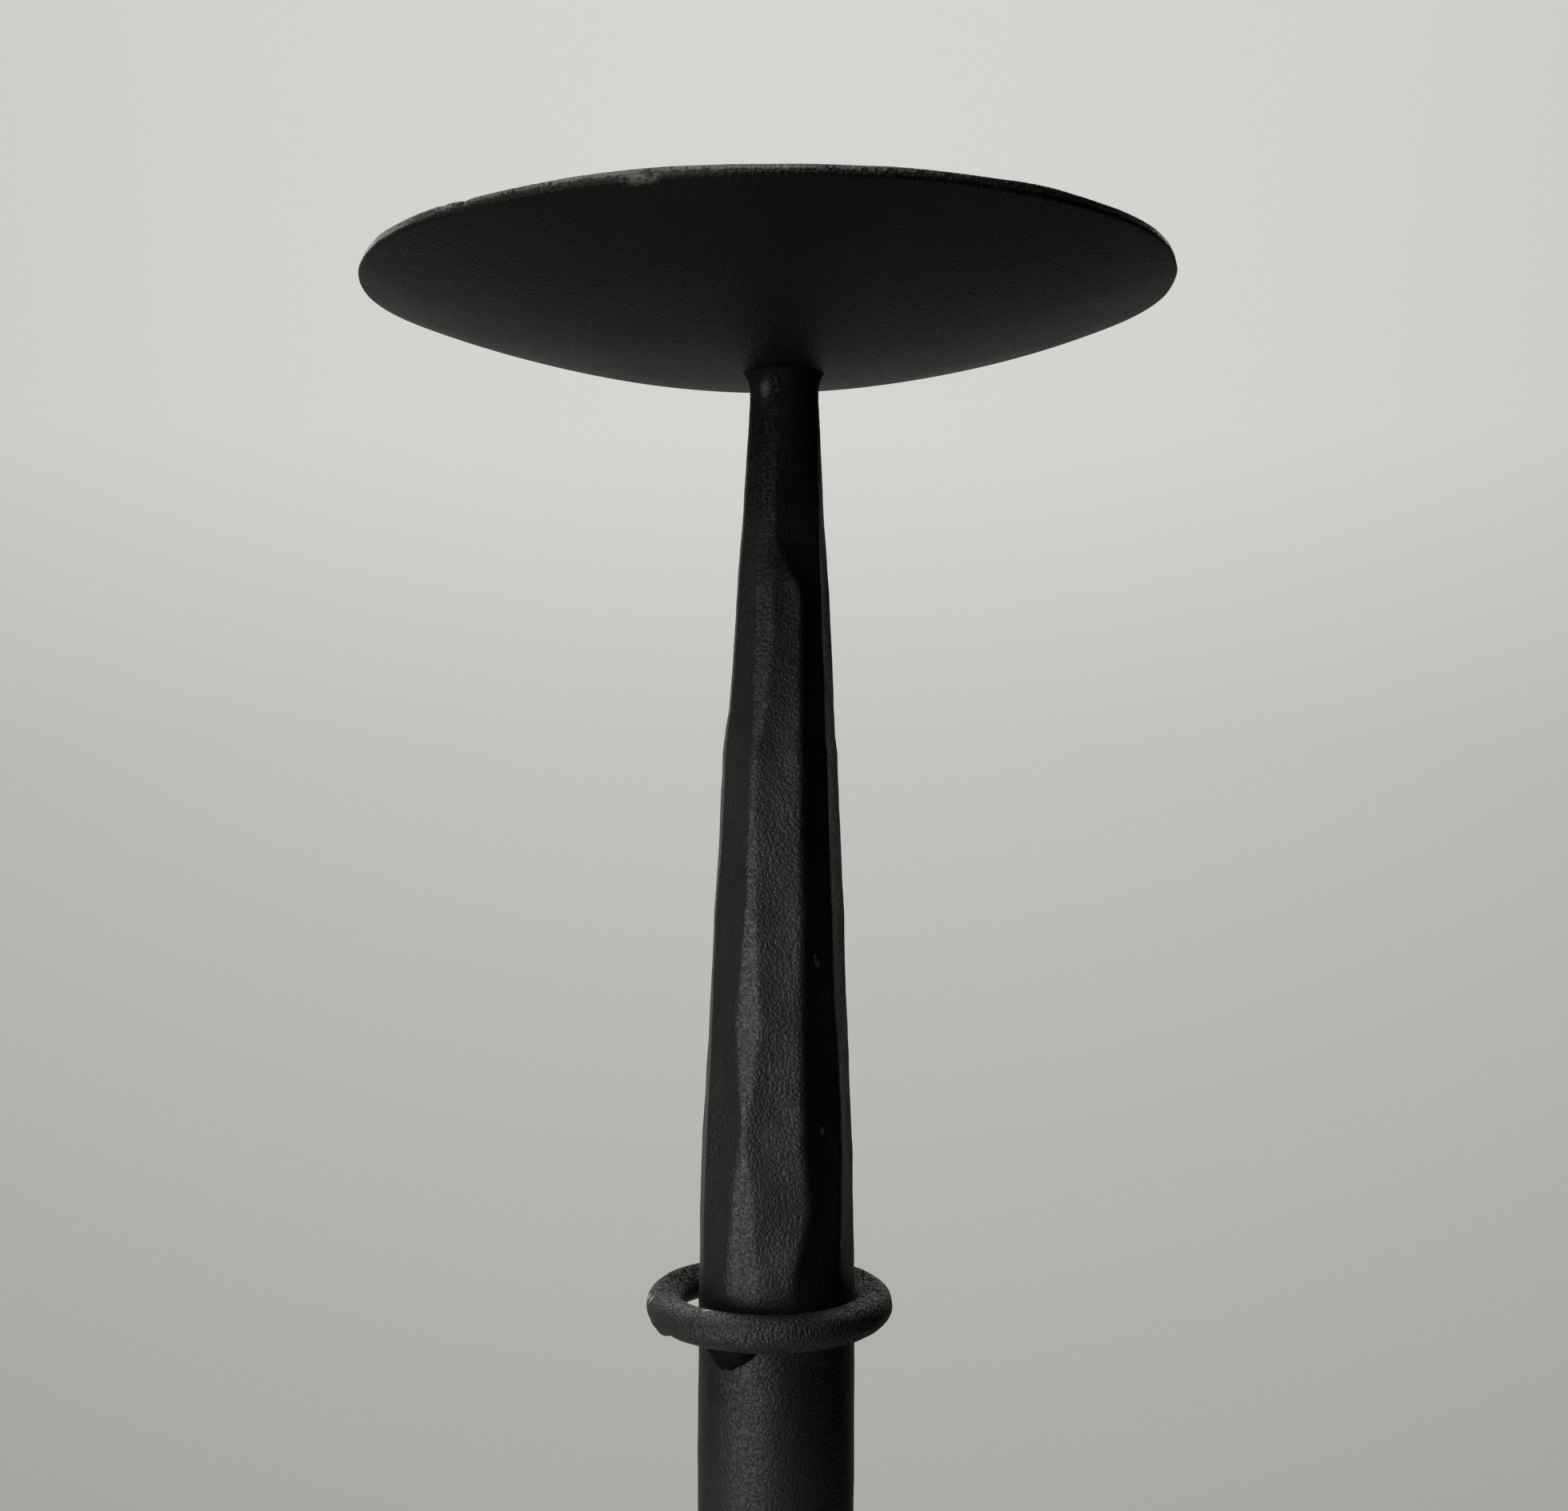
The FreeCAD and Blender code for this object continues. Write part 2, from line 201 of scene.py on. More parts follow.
def bump(angle, middle, half_width):
    """A smooth hump round an angle, 1 at its middle."""
    apart = (angle - middle + 180) % 360 - 180
    return np.exp(-(apart / half_width) ** 2)


def lumps(points, size, seed):
    """Smooth unevenness of about -1 to 1, with lumps of a given size."""
    draw = np.random.default_rng(seed)
    total = np.zeros(points.shape[:-1])
    waves = 14
    for _ in range(waves):
        heading = draw.normal(size=3)
        heading *= 2 * math.pi / (size * draw.uniform(1.3, 2.8) * np.linalg.norm(heading))
        total += np.sin(points @ heading + draw.uniform(0, 2 * math.pi))
    return total / math.sqrt(waves)


def table_at(table, share):
    """A value of a table of (share, value) pairs."""
    shares, values = zip(*table)
    return np.interp(share, shares, values)


def around(count):
    """Angles of points that divide a turn evenly."""
    return np.arange(count) * 360 / count


def ring_points(angles, radius, height, x=0.0):
    """Points at angles from the front: rows of (x, y, z)."""
    turn = np.radians(angles)
    flat = np.broadcast_arrays(x + radius * np.sin(turn), -radius * np.cos(turn), height)
    return np.stack(flat, axis=-1)


def skin_faces(count, per_row, loop):
    """Faces between rows of points. Open ends are closed with a point each, which follow the rows."""
    first = np.arange(count if loop else count - 1)
    here = (first * per_row)[:, None] + np.arange(per_row)
    beside = (first * per_row)[:, None] + (np.arange(per_row) + 1) % per_row
    below = (here + per_row) % (count * per_row)
    below_beside = (beside + per_row) % (count * per_row)
    faces = np.stack([here, below, below_beside, beside], axis=-1).reshape(-1, 4).tolist()
    if not loop:
        last = (count - 1) * per_row
        for step in range(per_row):
            after = (step + 1) % per_row
            faces.append([count * per_row, step, after])
            faces.append([count * per_row + 1, last + after, last + step])
    return faces


def piece(name, rows, material, body, nodes, wear_and_highlight=0.0, loop=False, dull_and_shade=None):
    """A piece whose skin runs round row by row. Open ends are closed with a point unless it loops.
    Wear says where the paint is rubbed and where its grey paints a highlight, and dull where the paint has
    lost its sheen and where shade is painted by taking its sheen off."""
    count, per_row = rows.shape[:2]
    points = rows.reshape(-1, 3)
    if not loop:
        points = np.concatenate([points, [rows[0].mean(axis=0), rows[-1].mean(axis=0)]])
    faces = skin_faces(count, per_row, loop)
    mesh = bpy.data.meshes.new(name)
    mesh.from_pydata((points * MM).tolist(), [], faces)
    skin = bmesh.new()
    skin.from_mesh(mesh)
    bmesh.ops.recalc_face_normals(skin, faces=skin.faces)
    skin.to_mesh(mesh)
    skin.free()
    mesh.polygons.foreach_set("use_smooth", np.ones(len(faces), dtype=bool))
    marks = {"wear_and_highlight": wear_and_highlight} if dull_and_shade is None else {"wear_and_highlight": wear_and_highlight, "dull_and_shade": dull_and_shade}
    for mark, amount in marks.items():
        values = np.zeros(len(points), dtype=np.float32)
        values[:count * per_row] = np.broadcast_to(amount, (count, per_row)).reshape(-1)
        mesh.attributes.new(mark, "FLOAT", "POINT").data.foreach_set("value", values)
    mesh.materials.append(material)
    made = bpy.data.objects.new(name, mesh)
    bpy.context.scene.collection.objects.link(made)
    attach(made, body)
    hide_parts(*nodes)


# Finishes
def colour(code):
    """Linear colour of an sRGB hex code."""
    parts = [int(code[start:start + 2], 16) / 255 for start in (1, 3, 5)]
    linear = [part / 12.92 if part <= 0.04045 else ((part + 0.055) / 1.055) ** 2.4 for part in parts]
    return linear + [1]


def node(tree, kind, settings=None, **sockets):
    """Adds a node. Sockets take a value or a node's output. Their names have _ for a space, or are i
    and a number."""
    made = tree.nodes.new("ShaderNode" + kind)
    for key, value in (settings or {}).items():
        setattr(made, key, value)
    for key, value in sockets.items():
        name = key.replace("_", " ")
        socket = made.inputs[int(name[1:])] if name[1:].isdigit() else made.inputs[name]
        if isinstance(value, bpy.types.NodeSocket):
            tree.links.new(value, socket)
        else:
            socket.default_value = value
    return made


def per_size(size):
    """Scale of a pattern whose marks are a given size."""
    return 1 / (size * MM)


# Patches of dust on the paint, about as wide as a thumb
DUST_PATCH = 16.0


def black_paint(name, paint, dusty, bare_and_highlight, roughness, grain, grain_height, speck, gloss, dulled_and_shaded=False):
    """Black paint brushed on iron: even colour with dusty patches, orange-peel grain from the scale
    underneath, duller and glossier patches, and dark iron showing on rubbed edges."""
    material = bpy.data.materials.new(name)
    material.use_nodes = True
    tree = material.node_tree
    tree.nodes.clear()
    place = node(tree, "TexCoord").outputs["Object"]
    patches = node(tree, "TexNoise", Vector=place, Scale=per_size(DUST_PATCH), Detail=4.0, Roughness=0.6)
    fine = node(tree, "TexNoise", Vector=place, Scale=per_size(grain), Detail=2.0, Roughness=0.5)
    specks = node(tree, "TexNoise", Vector=place, Scale=per_size(speck), Detail=2.0, Roughness=0.5)
    # Dust lightens broad patches and the tops of the grain.
    dust = node(tree, "Math", {"operation": "ADD"}, i0=patches.outputs["Fac"],
                i1=fine.outputs["Fac"])
    dusted = node(tree, "MapRange", Value=dust.outputs[0], From_Min=0.92, From_Max=1.22)
    paint_mix = node(tree, "MixRGB", Fac=dusted.outputs["Result"], Color1=colour(paint),
                     Color2=colour(dusty))
    # Rubbed paint comes off in chips. The same grey also paints the highlight along the pan's rim.
    rubbed_and_highlit = node(tree, "Attribute", {"attribute_name": "wear_and_highlight"}).outputs["Fac"]
    bared = node(tree, "Math", {"operation": "MULTIPLY_ADD"}, i0=rubbed_and_highlit, i1=0.4,
                 i2=specks.outputs["Fac"])
    chips = node(tree, "MapRange", Value=bared.outputs[0], From_Min=0.60, From_Max=0.76)
    worn_and_highlit = node(tree, "Math", {"operation": "MULTIPLY", "use_clamp": True}, i0=rubbed_and_highlit,
                i1=chips.outputs["Result"])
    skin = node(tree, "MixRGB", Fac=worn_and_highlit.outputs[0], Color1=paint_mix.outputs[0],
                Color2=colour(bare_and_highlight))
    metal = node(tree, "Math", {"operation": "MULTIPLY"}, i0=worn_and_highlit.outputs[0], i1=0.3)
    # The grain and the patches make the paint a little duller or glossier.
    sheen = node(tree, "MapRange", Value=fine.outputs["Fac"], From_Min=0.3, From_Max=0.7,
                 To_Min=roughness - 0.06, To_Max=roughness + 0.08)
    rough = node(tree, "Math", {"operation": "MULTIPLY_ADD"}, i0=patches.outputs["Fac"], i1=0.16,
                 i2=sheen.outputs["Result"])
    rough_all = node(tree, "Math", {"operation": "SUBTRACT"}, i0=rough.outputs[0], i1=0.08)
    relief = node(tree, "Bump", Height=fine.outputs["Fac"], Strength=1.0,
                  Distance=grain_height * MM)
    pits = node(tree, "Bump", Height=specks.outputs["Fac"], Strength=0.2,
                Distance=grain_height * MM, Normal=relief.outputs[0])
    shader = node(tree, "BsdfPrincipled", Base_Color=skin.outputs[0], Roughness=rough_all.outputs[0],
                  Metallic=metal.outputs[0], Specular_IOR_Level=gloss, Normal=pits.outputs[0])
    if dulled_and_shaded:
        # Here the gloss isn't the same all over: dull paint is rougher, quite dull paint has none, and the
        # tops of the grain are duller than the rest. Taking the sheen off this way also paints shade.
        lost = node(tree, "Attribute", {"attribute_name": "dull_and_shade"}).outputs["Fac"]
        topped = node(tree, "Math", {"operation": "MULTIPLY_ADD"}, i0=fine.outputs["Fac"], i1=2.0,
                      i2=lost)
        left = node(tree, "MapRange", Value=topped.outputs[0], From_Min=0.8, From_Max=2.05,
                    To_Min=gloss, To_Max=0.0)
        rougher = node(tree, "Math", {"operation": "MULTIPLY_ADD"}, i0=lost, i1=0.3,
                       i2=rough_all.outputs[0])
        tree.links.new(left.outputs["Result"], shader.inputs["Specular IOR Level"])
        tree.links.new(rougher.outputs[0], shader.inputs["Roughness"])
    node(tree, "OutputMaterial", Surface=shader.outputs[0])
    return material


# The grain and the specks of real paint are finer. They are drawn as coarse as they need to show.
# Matt paint brushed on sheet iron beaten to a dish: almost no gloss, and grey where the rim is rubbed,
# which is partly a painted highlight
sheet_paint = black_paint(
    "matt_black_paint_on_beaten_sheet_iron", "#070606", "#110f0c", "#5a5855",
    roughness=0.50, grain=0.42, grain_height=0.20, speck=0.7, gloss=0.12)
# Satin paint brushed on the forged bar: each flat has a soft gleam, broken up by the scale under it
forged_paint = black_paint(
    "satin_black_paint_on_hammered_iron", "#040403", "#131212", "#4c4944",
    roughness=0.49, grain=0.42, grain_height=0.15, speck=1.4, gloss=0.415, dulled_and_shaded=True)
# Satin paint brushed on bent wire: coarser grain, pale spots, and a gleam at the front, where no shade is
# painted
ring_paint = black_paint(
    "satin_black_paint_on_iron_wire", "#070606", "#161514", "#8c8983",
    roughness=0.50, grain=0.42, grain_height=0.32, speck=0.9, gloss=0.45, dulled_and_shaded=True)
# Thick dull paint over rough weld beads: no gleam, so they look like dark lumps
weld_paint = black_paint(
    "dull_black_paint_on_weld_beads", "#080807", "#100f0e", "#3a3733",
    roughness=0.70, grain=0.6, grain_height=0.10, speck=1.2, gloss=0.05)
# Paint on a drawn iron spike, worn off by candles: black at the seat and grey iron at the point
spike_paint = black_paint(
    "black_paint_worn_to_iron_on_the_spike", "#0f0e0d", "#1b1917", "#6d6860",
    roughness=0.45, grain=0.5, grain_height=0.06, speck=1.0, gloss=0.38)


# Stem: a round bar drawn out to a taper of hammered flats
def hammered_radius(angles, share, radius):
    """Radius of the struck bar round one level, and how near each point is to an edge between flats."""
    edges = np.array([table_at(edge, share) for edge in STEM_EDGES])
    edges[1:] = np.maximum(edges[1:], edges[:-1] + EDGE_GAP)
    edges = np.concatenate([edges, [edges[0] + 360]])
    turned = (angles - edges[0]) % 360 + edges[0]
    flat = np.clip(np.searchsorted(edges, turned, side="right") - 1, 0, len(edges) - 2)
    start, end = np.radians(edges[flat]), np.radians(edges[flat + 1])
    along = np.radians(turned)
    stand = radius * np.array(EDGE_STAND + EDGE_STAND[:1])
    from_edge, to_edge = stand[flat], stand[flat + 1]
    chord = from_edge * to_edge * np.sin(end - start)
    chord = chord / (from_edge * np.sin(along - start) + to_edge * np.sin(end - along))
    across = (along - start) / (end - start)
    blow = (share * TAPER_LENGTH / BLOW_LENGTH + BLOW_OFFSET * flat * flat) % 1
    dent = BLOW_DEPTH * (1 - (2 * blow - 1) ** 2) * np.sin(math.pi * across)
    dent *= np.minimum(1, (end - start) / math.radians(BLOW_WIDTH))
    near = np.minimum(turned - edges[flat], edges[flat + 1] - turned)
    return chord - dent, np.exp(-(near / EDGE_WEAR) ** 2)


def softened(radius):
    """Rounds the edges off by averaging round the bar."""
    steps = np.arange(-ROUND_REACH, ROUND_REACH + 1)
    weights = np.exp(-(steps / EDGE_ROUND) ** 2 / 2)
    total = sum(weight * np.roll(radius, step) for step, weight in zip(steps, weights))
    return total / weights.sum()


def hammered_stem():
    """The bar from the pan down to the foot, with the marks of each blow."""
    angles = around(STEM_STEPS)
    heights = np.concatenate([np.arange(PAN_POLE, PLAIN_FROM, -TAPER_ROW),
                              np.arange(PLAIN_FROM, STEM_FOOT, -PLAIN_ROW), [STEM_FOOT]])
    rows, worn_and_highlit, dull_and_shade = [], [], []
    for height in heights:
        share = (PAN_POLE - height) / TAPER_LENGTH
        round_radius = table_at(STEM_RADII, share)
        struck_radius, edge = hammered_radius(angles, min(share, 1.0) - EDGE_DROP,
                                              EDGE_REACH * round_radius)
        struck = table_at(STRUCK, share)
        radius = round_radius + struck * (softened(struck_radius) - round_radius)
        # One heavy blow on the left leaves a step.
        left = bump(angles, -86, 40)
        radius = radius + 0.2 * left * (ease(0.375, 0.402, share) - ease(0.41, 0.44, share))
        rows.append(ring_points(angles, radius, height, table_at(STEM_BOW, share)))
        # A rubbed spot under the weld shines at the front left, and flecks shine on the right.
        spot = bump(angles, -34, 9) * math.exp(-((share - 0.022) / 0.012) ** 2)
        flecks = sum(1.4 * bump(angles, angle, 1.8) * math.exp(-((share - down) / 0.005) ** 2)
                     for angle, down in STEM_FLECKS)
        worn_and_highlit.append(edge * struck * 0.06 + 0.35 * spot + flecks)
        # The neck's loss of sheen is partly painted shade under the pan. The tip of the front flat is
        # dulled as well, as painted shade that takes a highlight off it.
        tip = bump(angles, -1, 18) * math.exp(-((share - 0.216) / 0.024) ** 2)
        dull_and_shade.append(table_at(STEM_DULL_AND_SHADE, share) * (1 - spot) + 0.5 * tip)
    rows, worn_and_highlit, dull_and_shade = np.array(rows), np.array(worn_and_highlit), np.array(dull_and_shade)
    swell = 0.05 * lumps(rows, 9, seed=3) + 0.02 * lumps(rows, 2.4, seed=4)
    outward = rows * (1, 1, 0) - (STEM_LEAN * 0.5, 0, 0)
    outward /= np.linalg.norm(outward, axis=-1, keepdims=True)
    rows = rows + outward * swell[..., None]
    # The top follows the underside of the pan.
    reach = np.hypot(rows[0, :, 0] - PAN_X, rows[0, :, 1])
    lift = PAN_BALL - np.sqrt(PAN_BALL ** 2 - reach ** 2)
    rows[:TOP_ROWS, :, 2] += lift * np.linspace(1, 0, TOP_ROWS)[:, None]
    piece("hammered_stem", rows, forged_paint, "candlestick", ["stem"], worn_and_highlit, dull_and_shade=dull_and_shade)


def rivet_head():
    """The end of the bar's tenon, peened over the rove. Heights are from the rove's underside."""
    profile = ((7.0, 0.14), (9.2, -0.01), (9.5, -0.36), (9.3, -0.96), (8.6, -1.76), (7.4, -2.46),
               (5.6, -2.86), (3.4, -2.98), (1.2, -3.0))
    rows = np.array([ring_points(around(72), radius, ROVE_UNDER + up) for radius, up in profile])
    rows = rows * (1 + 0.012 * lumps(rows, 5, seed=11)[..., None] * (1, 1, 0))
    piece("peened_tenon", rows, forged_paint, "candlestick", ["stem"], 0.5)


# Sheet discs
def dish_profile(ball, sheet, radius, hole_outer, hole_inner, rim_round):
    """Polar angle and depth into the sheet along the skin: convex side, rim, hollow side."""
    rim = math.asin(radius / ball)
    turn_angle = rim_round / ball
    outer = np.linspace(hole_outer / ball, rim - turn_angle, OUTER_ROWS)
    inner = np.linspace(rim - turn_angle, hole_inner / ball, INNER_ROWS)
    corner = np.radians(np.linspace(12, 90, CORNER_ROWS))
    edge = np.linspace(rim_round, sheet - rim_round, RIM_ROWS + 2)[1:-1]
    polar = [outer, rim - turn_angle * (1 - np.sin(corner)), np.full(RIM_ROWS, rim),
             rim - turn_angle * (1 - np.sin(corner[::-1])), inner]
    depth = [np.zeros(OUTER_ROWS), rim_round * (1 - np.cos(corner)), edge,
             sheet - rim_round * (1 - np.cos(corner[::-1])), np.full(INNER_ROWS, sheet)]
    return np.concatenate(polar), np.concatenate(depth)


def drip_pan():
    """The dish under the candle, cut by hand and beaten, with a rubbed rim."""
    angles = around(DISC_STEPS)
    polar, depth = dish_profile(PAN_BALL, PAN_SHEET, PAN_RADIUS, hole_outer=1.5, hole_inner=2.6,
                                rim_round=0.45)
    out = (polar / polar.max())[:, None]
    guide = ring_points(angles, PAN_GUIDE, 0)
    # The shears left the edge uneven, with two nicks at the front left and a burr at the back right.
    trimmed = 0.0012 * lumps(guide, 14, seed=21) + 0.0005 * lumps(guide, 3, seed=22)
    trimmed -= 0.005 * bump(angles, -40, 0.9) + 0.003 * bump(angles, -44, 0.7)
    trimmed += 0.008 * bump(angles, 124, 0.7)
    warp = 0.12 * lumps(guide, 40, seed=23)
    angle = polar[:, None] * (1 + trimmed * out ** 8)
    sheet = depth[:, None] * (1 + 0.10 * lumps(guide, 9, seed=24) * out ** 6)
    ball = PAN_BALL - sheet
    rows = ring_points(angles, ball * np.sin(angle), PAN_POLE + PAN_BALL - ball * np.cos(angle))
    rows[..., 2] += warp * out ** 3 + 0.05 * lumps(rows, 13, seed=25) * ease(0.12, 0.3, out)
    # The sheet is sprung up a little at the back left and at the right.
    rows[..., 2] += 0.45 * ease(0.3, 0.8, out) * bump(angles, -118, 38)
    rows[..., 2] += 0.45 * ease(0.5, 1.0, out) * bump(angles, 65, 42)
    rows[..., 2] += rows[..., 0] * math.tan(math.radians(PAN_TILT))
    rows[..., 0] += PAN_X
    # The rim is grey at the front left and on its upper corner all round the right. This is partly rubbed
    # paint and partly a painted highlight where the rim catches the light.
    at_rim = ease(0.985, 0.999, out)
    through = (depth / PAN_SHEET)[:, None]
    turned = (angles + 180) % 360 - 180
    rubbed_and_highlit = ease(-49, -42, turned) - ease(6, 36, turned)
    rubbed_and_highlit *= 0.8 + 0.18 * lumps(guide, 2.5, seed=26)
    worn_and_highlit = at_rim * ease(0.3, 0.65, through) * (0.15 + 0.75 * rubbed_and_highlit)
    worn_and_highlit += at_rim * ease(0.7, 0.95, through) * 0.55 * (ease(0, 16, turned) - ease(85, 120, turned))
    # One knock took the paint off below the rim too.
    worn_and_highlit += 0.6 * bump(angles, -14.7, 3.0) * ease(0.977, 0.986, out) * (through < 0.5)
    piece("drip_pan_sheet", rows, sheet_paint, "candlestick", ["drip_pan"], worn_and_highlit)


def round_foot():
    """The thicker dish that the candlestick stands on, turned over and dented by the hammer."""
    angles = around(DISC_STEPS)
    polar, depth = dish_profile(FOOT_BALL, FOOT_SHEET, FOOT_RADIUS, hole_outer=6.0, hole_inner=7.1,
                                rim_round=0.8)
    out = (polar / polar.max())[:, None]
    ball = FOOT_BALL - depth[:, None]
    angle = polar[:, None]
    rows = ring_points(angles, ball * np.sin(angle), FOOT_CENTRE + ball * np.cos(angle))
    dents = 0.09 * lumps(rows, 9, seed=31) + 0.06 * lumps(rows, 17, seed=32)
    rows[..., 2] += dents * ease(0.2, 0.34, out) * ease(1.0, 0.9, out)
    # The rim is ground flat to stand on.
    rows[..., 2] = np.maximum(rows[..., 2], 0)
    worn_and_highlit = ease(0.2, 0.6, (depth / FOOT_SHEET)[:, None]) * ease(0.97, 0.999, out)
    piece("foot_sheet", rows, sheet_paint, "candlestick", ["foot"], 0.7 * worn_and_highlit)


def rove():
    """The thick washer that the bar's end is riveted over."""
    profile = ((ROVE_HOLE, ROVE_TOP), (13.0, ROVE_TOP), (13.7, ROVE_TOP - 0.25),
               (ROVE_RADIUS, ROVE_TOP - 0.8), (ROVE_RADIUS, ROVE_UNDER + 0.8),
               (13.7, ROVE_UNDER + 0.2), (13.0, ROVE_UNDER), (ROVE_HOLE, ROVE_UNDER))
    rows = np.array([ring_points(around(96), radius, height) for radius, height in profile])
    rows = rows * (1 + 0.008 * lumps(rows, 6, seed=41)[..., None] * (1, 1, 0))
    piece("rivet_rove", rows, sheet_paint, "candlestick", ["foot_rove"], 0.3, loop=True)


# Welds, ring and spike
def pan_weld():
    """A lumpy bead of weld between the neck and the pan."""
    angles = around(120)
    guide = ring_points(angles, 6, 0)
    ripples = np.abs(np.sin(np.radians(angles * 11)))
    leg = 0.42 + 0.12 * lumps(guide, 3.0, seed=51) + 0.1 * ripples
    for place, size, half_width in ((-70, 1.0, 22), (-75, 0.4, 6), (40, 0.3, 8), (88, 0.2, 5)):
        leg = leg + size * bump(angles, place, half_width)
    rows = []
    for share in np.linspace(0, 1, WELD_ROWS):
        swing = share * math.pi / 2
        radius = WELD_ROOT + leg * (1 - np.cos(swing)) + 0.12 * math.sin(2 * swing)
        drop = leg * (1 - np.sin(swing)) * 2.6
        reach = radius - STEM_LEAN * np.sin(np.radians(angles))
        under = PAN_POLE + reach ** 2 / (2 * PAN_BALL) + 0.05
        rows.append(ring_points(angles, radius, under - drop, STEM_LEAN))
    # Its back goes down inside the neck, from the height of the last row.
    rows.append(ring_points(angles, WELD_BACK, under, STEM_LEAN))
    rows.append(ring_points(angles, WELD_BACK, under - 2 * leg, STEM_LEAN))
    rows = np.array(rows)
    rows = rows + 0.16 * lumps(rows, 1.4, seed=52)[..., None] * (0.5, 0.5, -0.4)
    piece("pan_weld_bead", rows, weld_paint, "candlestick", ["pan_weld"], loop=True)


def spike():
    """Pricket: a four-sided drawn spike on a round seat. Heights are from the top of the seat."""
    profile = [(2.45, -13.57), (2.45, -2.65), (8.3, -2.6), (8.85, -2.3), (9.0, -1.67), (9.0, -0.87),
               (8.8, -0.27), (8.3, 0.0), (5.2, 0.0), (4.4, 0.08), (3.9, 0.43), (3.6, 1.03)]
    profile += [(3.5 - 2.95 * share, 1.53 + 19.9 * share) for share in np.linspace(0, 1, SPIKE_ROWS)]
    profile += [(0.4, 21.78), (0.2, 21.93)]
    angles = around(96)
    rows = []
    for radius, up in profile:
        drawn = ease(0.33, 3.93, up) * ease(21.93, 18.93, up)
        squared = radius * (1 - 0.05 * drawn * np.cos(np.radians(angles * 4)))
        rows.append(ring_points(angles, squared, SEAT_TOP + up, STEM_LEAN))
    rows = np.array(rows)
    rows[SHANK_ROWS:] += 0.05 * lumps(rows[SHANK_ROWS:], 4, seed=61)[..., None] * (1, 1, 0)
    # Worn at the point, and on the upper edge of the seat
    heights = rows[..., 2] - SEAT_TOP
    worn_and_highlit = ease(8.93, 20.93, heights) + 0.6 * bump(heights, -0.17, 0.25)
    piece("pricket_spike", rows, spike_paint, "candlestick", ["pricket"], worn_and_highlit)


def wire_loop(centre_angles, radius, wire, height, x):
    """Rows of wire sections along part of a circle. Each section is a circle in its own plane."""
    section = np.radians(around(WIRE_STEPS))
    turn = np.radians(centre_angles)[:, None]
    out = radius + wire * np.cos(section)
    return np.stack([x + out * np.sin(turn), -out * np.cos(turn), height + wire * np.sin(section)],
                    axis=-1)


def loose_ring():
    """The ring of bent wire. Angles round its wire start on the outside and go up."""
    angles = around(RING_STEPS)
    around_wire = around(WIRE_STEPS)
    guide = ring_points(angles, RING_RADIUS, 0)
    wire = RING_WIRE * (1 + 0.016 * lumps(guide, 9, seed=71))[:, None]
    rows = wire_loop(angles, RING_RADIUS, wire, RING_Z, RING_X)
    middle = ring_points(angles, RING_RADIUS, RING_Z, RING_X)[:, None, :]
    outward = (rows - middle) / RING_WIRE
    # Burrs under the left end, and the weld seam at the back right
    low_side = bump(around_wire, 285, 40)
    burrs = (0.6 * bump(angles, -66, 2.0) + 0.45 * bump(angles, -74, 1.5))[:, None] * low_side
    seam = 0.25 * bump(angles, 152, 3.5)[:, None] * bump(around_wire, 20, 110)
    rough = 0.035 * lumps(rows, 2.2, seed=72) + burrs + seam
    rows = rows + outward * rough[..., None]
    worn_and_highlit = 0.35 * bump(around_wire, 180, 45) + 0.15 * low_side
    # Pale spots on the top at the front left and on the outside of the left end
    for pale_spot, height, wide in ((-35, 92, 2.2), (-84, 29, 1.4), (-78, 36, 1.2), (-87, 18, 1.0)):
        worn_and_highlit = worn_and_highlit + 1.5 * bump(angles, pale_spot, wide)[:, None] * bump(around_wire, height, 14)
    # Its upper side is dulled as painted shade, less so at the front, which keeps its gleam.
    front = bump(angles, -12, 50)[:, None]
    dull_and_shade = (0.92 - 0.87 * front) * bump(around_wire, 100, 68)
    # Its low side on the right is dulled as painted shade.
    dull_and_shade = dull_and_shade + 0.9 * bump(angles, 38, 38)[:, None] * bump(around_wire, 290, 45)
    piece("loose_ring", rows, ring_paint, "ring", ["ring"], worn_and_highlit, True, dull_and_shade)


def ring_rests():
    """Three short weld beads on the bar that hold the ring up."""
    for order, (middle, drop) in enumerate(RESTS):
        height = RING_Z - drop
        along = np.linspace(-1, 1, REST_STEPS)
        angles = middle + along * REST_HALF_ANGLE
        wire = REST_WIRE * np.sqrt(np.maximum(0.02, 1 - np.abs(along) ** 3))[:, None]
        rows = wire_loop(angles, REST_RADIUS, wire, height, 0.0)
        centre = ring_points(angles[:, None], REST_RADIUS, height)
        ripple = 0.05 * np.sin(along * 14)[:, None]
        grown = 0.06 * lumps(rows, 1.5, seed=81 + order) + ripple
        rows = rows + (rows - centre) / REST_WIRE * grown[..., None]
        # The bead sagged a little left of its middle.
        sag = 0.75 * np.exp(-((along + 0.2) / 0.6) ** 2)[:, None]
        rows[..., 2] += sag * np.minimum(rows[..., 2] - height, 0)
        piece(f"ring_rest_{order}", rows, weld_paint, "candlestick", ["ring_rests"])


hammered_stem()
rivet_head()
drip_pan()
round_foot()
rove()
pan_weld()
spike()
loose_ring()
ring_rests()


# Room: a pale wall all round and a table top that fades into it
WALL_TOP = "#d5d5d2"
WALL = "#c3c3bf"
WALL_FOOT = "#aaa9a4"
# Radius of the table top, and where it starts and ends to fade, in metres
TABLE_RADIUS = 0.5
TABLE_FADE = (0.12, 0.48)
TABLE_STEPS = 96
# The table top lies a little under the foot, in metres.
TABLE_HEIGHT = -0.0003


def seen_ray(tree):
    """1 for rays that show the room: straight to the camera, mirrored or through glass."""
    path = node(tree, "LightPath").outputs
    mirrored = node(tree, "Math", {"operation": "MAXIMUM"}, i0=path["Is Glossy Ray"],
                    i1=path["Is Transmission Ray"])
    return node(tree, "Math", {"operation": "MAXIMUM"}, i0=path["Is Camera Ray"],
                i1=mirrored.outputs[0]).outputs[0]


